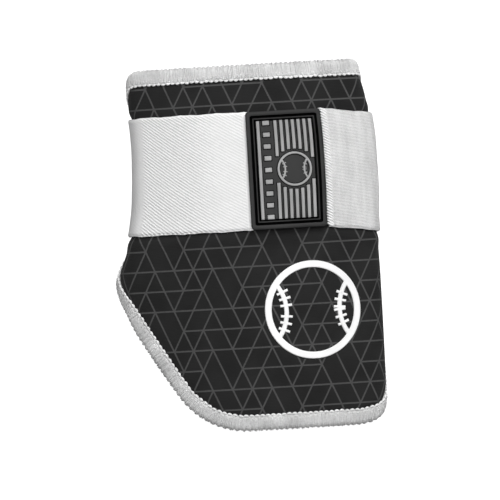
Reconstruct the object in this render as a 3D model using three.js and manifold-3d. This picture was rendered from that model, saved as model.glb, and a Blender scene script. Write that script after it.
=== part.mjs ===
// Elbow guard for a batter: a padded shell that wraps the outer side of the arm, a corded edge binding,
// a wide elastic strap that goes once round, its loop-faced end, a moulded pull tab and a raised emblem.
//
// Frame, in millimetres: the guard lies face up. X runs across the arm, Y along it towards the shoulder,
// Z up out of the face. The pad is first laid out flat: u is the distance across from the crown line,
// v the distance along the arm and w the height over the pad's outer face. surface() wraps it to shape.
import * as THREE from 'three'
import { mergeVertices } from 'three/addons/utils/BufferGeometryUtils.js'
import Module from 'manifold-3d'

const wasm = await Module()
wasm.setup()

// Driving dimensions of the wrapped shell
const CROWN_HEIGHT = 46          // floor to the top of the face
const HALF_WIDTH = 64.6          // crown line to the widest point of a wall
const FACE_EDGE_SLOPE = 20       // degrees that the face falls away where it meets the corner
const CORNER_RADIUS = 9.5        // outer bend between the face and a wall
const WALL_RADIUS = 90           // slow inward curl of a wall

// Pad: its printed field ends at the binding, and a thin tongue goes on inside the binding
const FIELD_LENGTH = 168.1
const PAD_THICKNESS = 6
const TONGUE_THICKNESS = 1.7
const TONGUE_REACH = 5

// Binding folded over the pad's edge
const BINDING_WIDTH = 7.3
const BINDING_THICKNESS = 5.4
const BINDING_WALL = 1.4
const EDGE_FLARE = 3.5           // how far the cut-back left edge stands away from the arm

// Strap, its two ends and its seam
const STRAP_WIDTH = 59.3
const STRAP_THICKNESS = 1.8
const STRAP_CENTRE_V = 38
const STRAP_TUCK = 1.8           // how far the strap's end stops short of the tab's far edge
const STRAP_FALL = 4             // how far the strap drops along the arm from the tab to the right wall
const LIFT_FADE = 6              // over which a wall comes down again beside the strap that it stands on
const SEAM_X = 45                // where the two lengths of strap are joined under the arm

// Pull tab
const TAB_WIDTH = 38.2
const TAB_SETBACK = 0.2          // from the strap's edges to the tab's ends
const TAB_LEFT_U = 0.7
const TAB_CORNER = 1.6
const TAB_BASE = 1.5
const TAB_FLANGE_WIDTH = 2.2
const TAB_FLANGE_RISE = 0.8
const TAB_GROOVE = 1.2
const TAB_RIB_WIDTH = 0.8
const TAB_RIB_RISE = 0.7
const BAR_WIDTH = 1.6
const BAR_PITCH = 2.92
const BAR_RISE = 0.7
const BAR_COUNT = 7
const BAR_FIRST = 14.7           // from the tab's left edge to the middle of the first short bar
const LONG_BAR = 6               // from the tab's left edge to the middle of the long bar
const BAR_END_MARGIN = 4.6       // from the tab's ends to the ends of the bars
const PIP_COUNT = 9
const PIP_LENGTH = 2.2
const PIP_WIDTH = 3.4
const PIP_COLUMN = 10
const BADGE_RADIUS = 8.6
const BADGE_U = 23               // from the tab's left edge
const BADGE_MARGIN = 1.5
const BADGE_SEAM = 0.9
const BADGE_SEAM_DEPTH = 0.4
const BADGE_SEAM_U = 12.5        // from the badge's middle to the middle of each seam's arc
const BADGE_SIDES = 20

// Emblem: the outline of a ball with its two seams
const EMBLEM_SIDES = 24
const EMBLEM_RADIUS = 24.5
const EMBLEM_U = 29.5
const EMBLEM_V = -32.6
const EMBLEM_LINE = 3.4
const EMBLEM_RISE = 0.7
const SEAM_SPREAD = 0.62         // how far a seam's middle stands from the ball's rim, share of its radius
const STITCH_COUNT = 5
const STITCH_LENGTH = 3.2
const STITCH_TURN = 14           // degrees round the seam from one stitch to the next

// Clearances and mesh fineness
const GAP = 0.3
const SLOT_GAP = 0.6             // between the tongue's tip and the bottom of the binding's slot
const COLUMN_STEP = 14
const ROW_STEP = 18
const EDGE_STEP = 7
const CORNER_STEPS = 4
const STRAP_ROWS = 6
const LEAST_STEP = 0.8
const LEVEL = 1e-6               // less than this apart counts as the same

const radians = Math.PI / 180
const fieldHalf = FIELD_LENGTH / 2

// Half width of the shell along the arm, drawn in where the strap passes and flared below it:
// at is a share of half the field's length, left and right are shares of HALF_WIDTH
const WIDTHS = [
  { at: 1.06, left: 0.892, right: 0.905 },
  { at: 1.00, left: 0.894, right: 0.914 },
  { at: 0.89, left: 0.892, right: 0.945 },
  { at: 0.79, left: 0.866, right: 0.961 },
  { at: 0.62, left: 0.857, right: 0.982 },
  { at: 0.34, left: 0.873, right: 0.986 },
  { at: 0.13, left: 0.913, right: 0.976 },
  { at: 0.02, left: 0.961, right: 0.979 },
  { at: -0.06, left: 0.994, right: 0.987 },
  { at: -0.22, left: 1.022, right: 0.991 },
  { at: -0.68, left: 1.018, right: 0.988 },
  { at: -0.88, left: 1.000, right: 0.984 },
  { at: -1.10, left: 1.000, right: 0.960 },
]

// Corners of the printed field, laid flat, anticlockwise from the upper left:
// across is a share of the wrap's half width, up and round are shares of half the field's length
const FIELD_CORNERS = [
  { across: -0.700, up: 1.000, round: 0.200 },
  { across: -1.000, up: 0.809, round: 0.095 },
  { across: -1.000, up: 0.059, round: 0.143 },
  { across: -0.674, up: -0.281, round: 0.478 },
  { across: -0.280, up: -1.000, round: 0.420 },
  { across: 0.700, up: -1.000, round: 0.330 },
  { across: 1.000, up: -0.620, round: 0.167 },
  { across: 1.000, up: 0.928, round: 0.095 },
  { across: 0.740, up: 1.000, round: 0.250 },
]

// The shell's profile: a shallow face arc, a tight corner and a wall that curls in
const faceAngle = FACE_EDGE_SLOPE * radians
const faceRadius = (HALF_WIDTH - CORNER_RADIUS * (1 - Math.sin(faceAngle))) / Math.sin(faceAngle)
const faceReach = faceRadius * faceAngle
const cornerReach = faceReach + CORNER_RADIUS * (Math.PI / 2 - faceAngle)
const faceDrop = faceRadius * (1 - Math.cos(faceAngle))
const widestHeight = CROWN_HEIGHT - faceDrop - CORNER_RADIUS * Math.cos(faceAngle)
const edgeRadius = BINDING_THICKNESS / 2
const wallAngle = Math.asin((widestHeight - edgeRadius) / (WALL_RADIUS - edgeRadius))
const rimReach = cornerReach + WALL_RADIUS * wallAngle
const wrapHalf = rimReach - (BINDING_WIDTH - edgeRadius)
const strapLow = STRAP_CENTRE_V - STRAP_WIDTH / 2
const strapHigh = STRAP_CENTRE_V + STRAP_WIDTH / 2
const strapOver = GAP + STRAP_THICKNESS
const tabLength = STRAP_WIDTH - 2 * TAB_SETBACK
const tabRight = TAB_LEFT_U + TAB_WIDTH

function profile(reach) {
  if (reach < faceReach) {
    const angle = reach / faceRadius
    return { x: faceRadius * Math.sin(angle), z: CROWN_HEIGHT - faceRadius * (1 - Math.cos(angle)) }
  }
  if (reach < cornerReach) {
    const angle = faceAngle + (reach - faceReach) / CORNER_RADIUS
    const x = faceRadius * Math.sin(faceAngle) + CORNER_RADIUS * (Math.sin(angle) - Math.sin(faceAngle))
    return { x, z: CROWN_HEIGHT - faceDrop - CORNER_RADIUS * (Math.cos(faceAngle) - Math.cos(angle)) }
  }
  const angle = (reach - cornerReach) / WALL_RADIUS
  return { x: HALF_WIDTH - WALL_RADIUS * (1 - Math.cos(angle)), z: widestHeight - WALL_RADIUS * Math.sin(angle) }
}

// A smooth curve through one column of a table, with the end rows held beyond its ends
function tableValue(rows, at, column) {
  const last = rows.length - 1
  if (at >= rows[0].at) return rows[0][column]
  if (at <= rows[last].at) return rows[last][column]
  const i = rows.findIndex((row) => row.at < at) - 1
  const slope = (k) => {
    const a = rows[Math.max(k - 1, 0)]
    const b = rows[Math.min(k + 1, last)]
    return (b[column] - a[column]) / (b.at - a.at)
  }
  const span = rows[i + 1].at - rows[i].at
  const t = (at - rows[i].at) / span
  const start = (1 + 2 * t) * (1 - t) ** 2 * rows[i][column] + t * (1 - t) ** 2 * span * slope(i)
  return start + t * t * (3 - 2 * t) * rows[i + 1][column] + t * t * (t - 1) * span * slope(i + 1)
}

// The strap drops evenly along the arm between the tab and the right wall
function strapFall(u) {
  return STRAP_FALL * THREE.MathUtils.clamp((u - tabRight - GAP) / (cornerReach - tabRight - GAP), 0, 1)
}

// The walls stand on the strap where it passes under their rim, and on the floor elsewhere
function rimLift(u, v) {
  const along = v + strapFall(u)
  const outside = Math.max(strapLow - along, along - strapHigh, 0)
  return strapOver * (1 - THREE.MathUtils.smoothstep(outside, 0, LIFT_FADE))
}

// The left edge stands away from the arm where it is cut back below the strap
function edgeFlare(u, v) {
  const { smoothstep } = THREE.MathUtils
  const past = smoothstep(-u, faceReach + CORNER_RADIUS / 2, cornerReach + CORNER_RADIUS)
  return -EDGE_FLARE * past * smoothstep(strapLow - v, LIFT_FADE, 4 * LIFT_FADE)
}

function surface(u, v) {
  const reach = Math.abs(u)
  const width = tableValue(WIDTHS, v / fieldHalf, u < 0 ? 'left' : 'right')
  const { x, z } = profile(reach)
  const down = THREE.MathUtils.clamp((reach - cornerReach) / (rimReach - cornerReach), 0, 1)
  return new THREE.Vector3(Math.sign(u) * width * x + edgeFlare(u, v), v, z + rimLift(u, v) * down)
}

function surfaceNormal(u, v) {
  const step = 0.05
  const across = surface(u + step, v).sub(surface(u - step, v))
  const along = surface(u, v + step).sub(surface(u, v - step))
  return across.cross(along).normalize()
}

function wrapped(u, v, w) {
  return surface(u, v).addScaledVector(surfaceNormal(u, v), w)
}

// Flat outlines
function filletedLoop(corners, step) {
  const loop = []
  corners.forEach((corner, i) => {
    const here = new THREE.Vector2(corner.u, corner.v)
    const before = corners[(i + corners.length - 1) % corners.length]
    const after = corners[(i + 1) % corners.length]
    const back = new THREE.Vector2(before.u, before.v).sub(here).normalize()
    const forth = new THREE.Vector2(after.u, after.v).sub(here).normalize()
    const half = Math.acos(THREE.MathUtils.clamp(back.dot(forth), -1, 1)) / 2
    const centre = back.clone().add(forth).normalize().multiplyScalar(corner.round / Math.sin(half)).add(here)
    const turn = Math.sign(forth.cross(back)) * (Math.PI - 2 * half)
    const first = here.clone().addScaledVector(back, corner.round / Math.tan(half)).sub(centre)
    const sweep = Math.abs(turn)
    const steps = Math.max(2, Math.ceil(corner.round * sweep / step), Math.ceil(sweep / (30 * radians)))
    for (let k = 0; k <= steps; k++) {
      loop.push(first.clone().rotateAround(new THREE.Vector2(), turn * k / steps).add(centre))
    }
  })
  return loop
}

// The share of the way from one value to the next where a third is met, 0 where the two are level
function crossing(from, to, at) {
  return Math.abs(to - from) > LEVEL ? (at - from) / (to - from) : 0
}

// The loop with a point wherever it crosses a column or a row, so that it bends with the board
function divided(loop, columns, rows) {
  return loop.flatMap((point, i) => {
    const next = loop[(i + 1) % loop.length]
    const length = point.distanceTo(next)
    const crossings = [
      ...columns.map((u) => crossing(point.x, next.x, u)),
      ...rows.map((v) => crossing(point.y, next.y, v)),
    ].filter((t) => t * length > LEAST_STEP && (1 - t) * length > LEAST_STEP).sort((a, b) => a - b)
    const kept = crossings.filter((t, k) => k === 0 || (t - crossings[k - 1]) * length > LEAST_STEP)
    return [point, ...kept.map((t) => point.clone().lerp(next, t))]
  })
}

function outward(loop, i) {
  const here = loop[i]
  const before = here.clone().sub(loop[(i + loop.length - 1) % loop.length]).normalize()
  const after = loop[(i + 1) % loop.length].clone().sub(here).normalize()
  const along = before.add(after).normalize()
  return new THREE.Vector2(along.y, -along.x)
}

function offsetLoop(loop, distance) {
  return loop.map((point, i) => point.clone().addScaledVector(outward(loop, i), distance))
}

function rectangle(left, low, right, high, round) {
  const corners = [[left, high], [left, low], [right, low], [right, high]]
  return filletedLoop(corners.map(([u, v]) => ({ u, v, round })), 1)
}

function disc(u, v, radius, sides) {
  return Array.from({ length: sides }, (_, k) => {
    const angle = 2 * Math.PI * k / sides
    return new THREE.Vector2(u + radius * Math.cos(angle), v + radius * Math.sin(angle))
  })
}

// Closed solids in flat space, joined and cut before they are wrapped. Each triangle counts as a face of its
// own, so a flat board keeps the columns and rows that it bends along.
function solidFrom(positions, triangles) {
  const vertProperties = Float32Array.from(positions)
  const triVerts = Uint32Array.from(triangles)
  const faceID = Uint32Array.from({ length: triVerts.length / 3 }, (_, k) => k)
  return new wasm.Manifold(new wasm.Mesh({ numProp: 3, vertProperties, triVerts, faceID }))
}

function solidOf(geometry) {
  geometry.deleteAttribute('normal')
  geometry.deleteAttribute('uv')
  const merged = mergeVertices(geometry, 1e-5)
  return solidFrom(merged.attributes.position.array, merged.index.array)
}

function prism(loop, low, high) {
  const geometry = new THREE.ExtrudeGeometry(new THREE.Shape(loop), { depth: high - low, bevelEnabled: false })
  return solidOf(geometry.translate(0, 0, low))
}

// A flat board divided into columns and rows, so that it can bend
function board(columns, rows, low, high) {
  const positions = []
  const triangles = []
  const across = columns.length
  const index = (i, j, top) => (top * rows.length + j) * across + i
  for (const w of [low, high]) for (const v of rows) for (const u of columns) positions.push(u, v, w)
  const quad = (a, b, c, d) => triangles.push(a, b, c, a, c, d)
  for (let j = 0; j + 1 < rows.length; j++) {
    for (let i = 0; i + 1 < across; i++) {
      quad(index(i, j, 1), index(i + 1, j, 1), index(i + 1, j + 1, 1), index(i, j + 1, 1))
      quad(index(i, j, 0), index(i, j + 1, 0), index(i + 1, j + 1, 0), index(i + 1, j, 0))
    }
    quad(index(0, j, 0), index(0, j, 1), index(0, j + 1, 1), index(0, j + 1, 0))
    quad(index(across - 1, j, 0), index(across - 1, j + 1, 0), index(across - 1, j + 1, 1), index(across - 1, j, 1))
  }
  const top = rows.length - 1
  for (let i = 0; i + 1 < across; i++) {
    quad(index(i, 0, 0), index(i + 1, 0, 0), index(i + 1, 0, 1), index(i, 0, 1))
    quad(index(i, top, 0), index(i, top, 1), index(i + 1, top, 1), index(i + 1, top, 0))
  }
  return solidFrom(positions, triangles)
}

function ruler(low, high, step) {
  const parts = Math.max(1, Math.round((high - low) / step))
  return Array.from({ length: parts + 1 }, (_, k) => low + (high - low) * k / parts)
}

// Columns that are wide over the face and close together round the two corners
function bendColumns() {
  const face = ruler(-faceReach, faceReach, COLUMN_STEP)
  const corner = ruler(faceReach, cornerReach, (cornerReach - faceReach) / CORNER_STEPS).slice(1)
  const wall = ruler(cornerReach, wrapHalf, COLUMN_STEP).slice(1)
  const side = [...corner, ...wall, rimReach, rimReach + BINDING_WIDTH]
  return [...side.map((u) => -u).reverse(), ...face, ...side]
}

function bendRows() {
  const end = fieldHalf + BINDING_WIDTH
  const [low, high] = [strapLow - STRAP_FALL, strapHigh - STRAP_FALL]
  const flared = strapLow - 4 * LIFT_FADE
  const marks = [
    [-end, flared, ROW_STEP], [flared, low - LIFT_FADE, LIFT_FADE * 0.8], [low - LIFT_FADE, low, LIFT_FADE / 2],
    [low, strapLow, STRAP_FALL / 2], [high, high + LIFT_FADE, LIFT_FADE / 2],
    [high + LIFT_FADE, strapHigh + LIFT_FADE, STRAP_FALL / 2], [strapHigh + LIFT_FADE, end, ROW_STEP],
  ]
  const rows = [...marks.flatMap(([from, to, step]) => ruler(from, to, step)), ...strapRows().slice(1, -1)]
  return rows.sort((a, b) => a - b).filter((v, k, all) => k === 0 || v - all[k - 1] > LEVEL)
}

function strapRows() {
  return ruler(strapLow, strapHigh, STRAP_WIDTH / STRAP_ROWS)
}

// The part of a bendable board that lies inside a loop
function plate(loop, low, high, step) {
  const us = loop.map((point) => point.x)
  const vs = loop.map((point) => point.y)
  const columns = ruler(Math.min(...us) - 1, Math.max(...us) + 1, step)
  const rows = [Math.min(...vs) - 1, Math.max(...vs) + 1]
  return board(columns, rows, low, high).intersect(prism(loop, low - 1, high + 1))
}

// Finished meshes
function mesh(name, geometry, finish) {
  const made = new THREE.Mesh(geometry, new THREE.MeshStandardMaterial(finish))
  made.name = name
  return made
}

function wrapGeometry(solid) {
  const { vertProperties, triVerts } = solid.getMesh()
  const positions = new Float32Array(vertProperties.length)
  for (let k = 0; k < vertProperties.length; k += 3) {
    wrapped(vertProperties[k], vertProperties[k + 1], vertProperties[k + 2]).toArray(positions, k)
  }
  const geometry = new THREE.BufferGeometry()
  geometry.setAttribute('position', new THREE.BufferAttribute(positions, 3))
  geometry.setIndex(Array.from(triVerts))
  return geometry
}

// A closed ring or bar of sections, each a list of points in the same order
function sweptGeometry(sections, closed) {
  const count = sections[0].length
  const positions = sections.flat().flatMap((point) => point.toArray())
  const index = []
  const rings = closed ? sections.length : sections.length - 1
  for (let i = 0; i < rings; i++) {
    const here = i * count
    const next = ((i + 1) % sections.length) * count
    for (let k = 0; k < count; k++) {
      const l = (k + 1) % count
      index.push(here + k, next + k, next + l, here + k, next + l, here + l)
    }
  }
  if (!closed) {
    const end = (sections.length - 1) * count
    for (let k = 0; k + 1 < count / 2; k++) {
      const [a, b, c, d] = [k, k + 1, count - 2 - k, count - 1 - k]
      index.push(a, b, c, a, c, d)
      index.push(end + a, end + c, end + b, end + a, end + d, end + c)
    }
  }
  const geometry = new THREE.BufferGeometry()
  geometry.setAttribute('position', new THREE.Float32BufferAttribute(positions, 3))
  geometry.setIndex(index)
  return geometry
}

// Padded shell
function fieldLoop() {
  const corners = FIELD_CORNERS.map(({ across, up, round }) => (
    { u: across * wrapHalf, v: up * fieldHalf, round: round * fieldHalf }))
  return filletedLoop(corners, EDGE_STEP)
}

function pad() {
  const columns = bendColumns()
  const rows = bendRows()
  const loop = fieldLoop()
  const middle = -BINDING_THICKNESS / 2
  const body = board(columns, rows, -PAD_THICKNESS, 0)
    .intersect(prism(divided(offsetLoop(loop, -GAP), columns, rows), -2 * PAD_THICKNESS, PAD_THICKNESS))
  const tongue = board(columns, rows, middle - TONGUE_THICKNESS / 2, middle + TONGUE_THICKNESS / 2)
    .intersect(prism(offsetLoop(loop, TONGUE_REACH), -2 * PAD_THICKNESS, PAD_THICKNESS))
  return mesh('pad', wrapGeometry(body.add(tongue)), { color: 0x232325, roughness: 0.85, metalness: 0 })
}

// Edge binding: one C section swept once round the field's edge
function bindingSection() {
  const inner = BINDING_THICKNESS - BINDING_WALL
  const slot = TONGUE_REACH + SLOT_GAP
  const centre = BINDING_WIDTH - edgeRadius
  const nose = Array.from({ length: 5 }, (_, k) => {
    const angle = Math.PI * (0.5 - k / 4)
    return [centre + edgeRadius * Math.cos(angle), -edgeRadius + edgeRadius * Math.sin(angle)]
  })
  return [
    [0, 0], [centre / 2, 0], ...nose, [centre / 2, -BINDING_THICKNESS], [0, -BINDING_THICKNESS],
    [0, -inner], [slot / 2, -inner], [slot, -inner], [slot, -BINDING_WALL], [slot / 2, -BINDING_WALL], [0, -BINDING_WALL],
  ]
}

function edgeBinding() {
  const loop = divided(fieldLoop(), bendColumns(), bendRows())
  const section = bindingSection()
  const sections = loop.map((point, i) => {
    const out = outward(loop, i)
    return section.map(([reach, w]) => wrapped(point.x + out.x * reach, point.y + out.y * reach, w)).reverse()
  })
  return mesh('edge_binding', sweptGeometry(sections, true), { color: 0xd8d8d6, roughness: 0.95, metalness: 0 })
}

// Strap: over the face, down a wall, round its rim and back under the arm
function strapPoint(side, travel, row, w) {
  const v = row - strapFall(side * travel)
  if (travel <= rimReach) return wrapped(side * travel, v, w)
  const rim = surface(side * rimReach, v)
  const normal = surfaceNormal(side * rimReach, v).setY(0).normalize()
  const centre = rim.clone().addScaledVector(normal, -edgeRadius).setZ(edgeRadius + strapOver)
  const lean = Math.atan2(-normal.z, Math.abs(normal.x))
  const bend = Math.min(travel - rimReach, Math.PI / 2 - lean)
  const angle = lean + bend
  const radius = edgeRadius + w
  const x = centre.x + side * radius * Math.cos(angle)
  return new THREE.Vector3(x, v, centre.z - radius * Math.sin(angle))
}

function strapStations(side, from) {
  const face = ruler(from, faceReach, COLUMN_STEP)
  const corner = ruler(faceReach, cornerReach, (cornerReach - faceReach) / (CORNER_STEPS + 1)).slice(1)
  const wall = ruler(cornerReach, rimReach, COLUMN_STEP).slice(1)
  const rim = ruler(rimReach, rimReach + Math.PI / 2, Math.PI / 10).slice(1)
  return [...face, ...corner, ...wall, ...rim].map((travel) => (v, w) => strapPoint(side, travel, v, w))
}

function floorStations(side, toX) {
  const end = (v, w) => strapPoint(side, rimReach + Math.PI, v, w)
  return [1 / 3, 2 / 3, 1].map((share) => (v, w) => {
    const from = end(v, w)
    return from.lerp(new THREE.Vector3(toX, v - STRAP_FALL, from.z), share)
  })
}

// One long band from its stations in order, side being the wall that it goes down
function bandGeometry(stations, side) {
  const rows = strapRows()
  const sections = stations.map((at) => {
    const over = rows.map((v) => at(v, strapOver))
    const under = rows.map((v) => at(v, GAP))
    return side < 0 ? [...over.reverse(), ...under] : [...over, ...under.reverse()]
  })
  return sweptGeometry(sections, false)
}

function elasticStrap() {
  const end = tabRight - STRAP_TUCK
  const under = ruler(0, end, COLUMN_STEP).slice(1).reverse().map((u) => (v, w) => strapPoint(1, u, v, w))
  const stations = [...under, ...strapStations(-1, 0), ...floorStations(-1, SEAM_X)]
  return mesh('elastic_strap', bandGeometry(stations, -1), { color: 0xf0f0ee, roughness: 0.9, metalness: 0 })
}

function loopStrap() {
  const stations = [...strapStations(1, tabRight + GAP), ...floorStations(1, SEAM_X + GAP)]
  return mesh('loop_strap', bandGeometry(stations, 1), { color: 0xe4e4e4, roughness: 1, metalness: 0 })
}

// Pull tab: a flanged plate with a groove, an inner rib, bars, pips and a round badge
function box(u0, v0, u1, v1, low, high) {
  const geometry = new THREE.BoxGeometry(u1 - u0, v1 - v0, high - low)
  return solidOf(geometry.translate((u0 + u1) / 2, (v0 + v1) / 2, (low + high) / 2))
}

function tabFrame(inset, width, low, high) {
  const bounds = tabBounds()
  const outer = rectangle(bounds.left + inset, bounds.low + inset, bounds.right - inset, bounds.high - inset,
    Math.max(TAB_CORNER - inset / 2, 0.4))
  const reach = inset + width
  const inner = rectangle(bounds.left + reach, bounds.low + reach, bounds.right - reach, bounds.high - reach,
    Math.max(TAB_CORNER - reach / 2, 0.3))
  return plate(outer, low, high, COLUMN_STEP).subtract(prism(inner, low - 1, high + 1))
}

function tabBounds() {
  const left = TAB_LEFT_U
  const low = STRAP_CENTRE_V - tabLength / 2
  return { left, low, right: left + TAB_WIDTH, high: low + tabLength }
}

function badgeParts(u, v, low, high) {
  const face = plate(disc(u, v, BADGE_RADIUS, BADGE_SIDES), low, high, COLUMN_STEP)
  const seams = [-1, 1].map((side) => {
    const centre = u + side * BADGE_SEAM_U
    const ring = prism(disc(centre, v, BADGE_RADIUS, BADGE_SIDES), high - BADGE_SEAM_DEPTH, high + 1)
    return ring.subtract(prism(disc(centre, v, BADGE_RADIUS - BADGE_SEAM, BADGE_SIDES), high - 1, high + 2))
  })
  return seams.reduce((solid, seam) => solid.subtract(seam), face)
}

function pullTab() {
  const { left, low, right, high } = tabBounds()
  const bottom = strapOver + GAP
  const field = bottom + TAB_BASE
  const sunk = field - TAB_BASE / 2
  const badgeU = left + BADGE_U
  let solid = plate(rectangle(left, low, right, high, TAB_CORNER), bottom, field, COLUMN_STEP)
  solid = solid.add(tabFrame(0, TAB_FLANGE_WIDTH, sunk, field + TAB_FLANGE_RISE))
  solid = solid.add(tabFrame(TAB_FLANGE_WIDTH + TAB_GROOVE, TAB_RIB_WIDTH, sunk, field + TAB_RIB_RISE))
  const barLow = low + BAR_END_MARGIN
  const barHigh = high - BAR_END_MARGIN
  const bars = [{ u: left + LONG_BAR, from: barLow, to: barHigh }]
  for (let k = 0; k < BAR_COUNT; k++) {
    const u = left + BAR_FIRST + k * BAR_PITCH
    const off = Math.max(0, Math.abs(u - badgeU) - BAR_WIDTH / 2)
    const clear = Math.sqrt(Math.max(0, (BADGE_RADIUS + BADGE_MARGIN) ** 2 - off ** 2))
    bars.push({ u, from: STRAP_CENTRE_V + clear, to: barHigh }, { u, from: barLow, to: STRAP_CENTRE_V - clear })
  }
  for (const { u, from, to } of bars) {
    solid = solid.add(box(u - BAR_WIDTH / 2, from, u + BAR_WIDTH / 2, to, sunk, field + BAR_RISE))
  }
  const pipU = left + PIP_COLUMN
  for (let k = 0; k < PIP_COUNT; k++) {
    const v = THREE.MathUtils.lerp(barLow + PIP_LENGTH / 2, barHigh - PIP_LENGTH / 2, k / (PIP_COUNT - 1))
    solid = solid.add(box(pipU - PIP_WIDTH / 2, v - PIP_LENGTH / 2, pipU + PIP_WIDTH / 2, v + PIP_LENGTH / 2,
      sunk, field + BAR_RISE))
  }
  solid = solid.add(badgeParts(badgeU, STRAP_CENTRE_V, sunk, field + BAR_RISE))
  return mesh('pull_tab', wrapGeometry(solid), { color: 0x3a3b3e, roughness: 0.55, metalness: 0 })
}

// Emblem: a ball's rim with two curved seams and their stitches, all one moulding
function seamArc(side) {
  const radius = EMBLEM_RADIUS
  const centre = EMBLEM_U + side * radius * (1 + SEAM_SPREAD)
  return { centre, radius }
}

function emblem() {
  const low = GAP
  const high = GAP + EMBLEM_RISE
  const whole = disc(EMBLEM_U, EMBLEM_V, EMBLEM_RADIUS, EMBLEM_SIDES)
  let solid = plate(whole, low, high, COLUMN_STEP)
    .subtract(prism(disc(EMBLEM_U, EMBLEM_V, EMBLEM_RADIUS - EMBLEM_LINE, EMBLEM_SIDES), low - 1, high + 1))
  for (const side of [-1, 1]) {
    const { centre, radius } = seamArc(side)
    const line = EMBLEM_LINE / 2
    let seam = plate(disc(centre, EMBLEM_V, radius + line / 2, EMBLEM_SIDES), low, high, COLUMN_STEP)
      .subtract(prism(disc(centre, EMBLEM_V, radius - line / 2, EMBLEM_SIDES), low - 1, high + 1))
    for (let k = 0; k < STITCH_COUNT; k++) {
      const angle = (k - (STITCH_COUNT - 1) / 2) * STITCH_TURN * radians
      const stitch = new THREE.BoxGeometry(2 * STITCH_LENGTH, line * 0.8, high - low)
        .translate(-side * radius, 0, (low + high) / 2).rotateZ(-side * angle).translate(centre, EMBLEM_V, 0)
      seam = seam.add(solidOf(stitch))
    }
    const within = disc(EMBLEM_U, EMBLEM_V, EMBLEM_RADIUS - EMBLEM_LINE / 2, EMBLEM_SIDES)
    solid = solid.add(seam.intersect(prism(within, low - 1, high + 1)))
  }
  return mesh('emblem', wrapGeometry(solid), { color: 0xf4f4f4, roughness: 0.4, metalness: 0 })
}

const guard = new THREE.Group()
guard.add(pad(), edgeBinding(), elasticStrap(), loopStrap(), pullTab(), emblem())

// The origin is under the middle of the whole guard
const reach = new THREE.Box3().setFromObject(guard)
const middle = reach.getCenter(new THREE.Vector3())
guard.position.set(-middle.x, -middle.y, -reach.min.z)

export default guard
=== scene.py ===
"""Looks of an elbow guard: printed padded shell, serged binding, strap, rubber tab and raised emblem."""
import math
from functools import partial

import bpy
import numpy as np
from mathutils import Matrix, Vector
from mathutils.geometry import delaunay_2d_cdt


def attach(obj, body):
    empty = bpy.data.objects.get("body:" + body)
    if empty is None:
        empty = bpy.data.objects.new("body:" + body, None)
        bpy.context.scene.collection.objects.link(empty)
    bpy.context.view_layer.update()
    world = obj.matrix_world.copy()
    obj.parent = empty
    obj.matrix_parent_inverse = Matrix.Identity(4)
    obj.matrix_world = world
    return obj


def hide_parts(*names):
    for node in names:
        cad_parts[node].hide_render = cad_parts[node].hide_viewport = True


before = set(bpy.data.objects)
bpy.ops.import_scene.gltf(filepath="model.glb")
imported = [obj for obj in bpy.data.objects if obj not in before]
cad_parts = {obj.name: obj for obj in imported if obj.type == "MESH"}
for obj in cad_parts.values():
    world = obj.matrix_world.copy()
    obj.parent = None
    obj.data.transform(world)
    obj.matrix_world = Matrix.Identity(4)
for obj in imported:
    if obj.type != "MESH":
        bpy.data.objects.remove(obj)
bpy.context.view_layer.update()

# Sizes in millimetres, as the solids have them. The pad is laid out flat: u across from the crown line,
# v along the arm, w over the pad's outer face. wrapped() takes a flat place to its place on the guard.
MM = 0.001
CROWN_LINE_X = 1.422
CROWN_HEIGHT = 46.0
HALF_WIDTH = 64.6
FACE_EDGE_ANGLE = math.radians(20)
CORNER_RADIUS = 9.5
WALL_RADIUS = 90.0
FIELD_HALF = 84.05
PAD_THICKNESS = 6.0
BINDING_WIDTH = 7.3
BINDING_THICKNESS = 5.4
STRAP_WIDTH = 59.3
STRAP_THICKNESS = 1.8
STRAP_CENTRE_V = 38.0
GAP = 0.3
STRAP_FALL = 4.0
SEAM_X = 45.0
TAB_LEFT_U = 0.7
TAB_WIDTH = 38.2
TAB_LENGTH = 58.9
STRAP_TUCK = 1.8
LIFT_FADE = 6.0
EDGE_FLARE = 3.5
RIGHT_STRETCH = 0.985            # the print is drawn out a little towards the right wall

# Half width of the shell along the arm: share of half the field's length, then shares of HALF_WIDTH
WIDTH_AT = [-1.10, -0.88, -0.68, -0.22, -0.06, 0.02, 0.13, 0.34, 0.62, 0.79, 0.89, 1.00, 1.06]
LEFT_WIDTH = [1.000, 1.000, 1.018, 1.022, 0.994, 0.961, 0.913, 0.873, 0.857, 0.866, 0.892, 0.894, 0.892]
RIGHT_WIDTH = [0.960, 0.984, 0.988, 0.991, 0.987, 0.979, 0.976, 0.986, 0.982, 0.961, 0.945, 0.914, 0.905]

# Corners of the printed field: across (share of the wrap), up and round (shares of half the field's length)
FIELD_CORNERS = [
    (-0.700, 1.000, 0.200), (-1.000, 0.809, 0.095), (-1.000, 0.059, 0.143), (-0.674, -0.281, 0.478),
    (-0.280, -1.000, 0.420), (0.700, -1.000, 0.330), (1.000, -0.620, 0.167), (1.000, 0.928, 0.095),
    (0.740, 1.000, 0.250),
]

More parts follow.
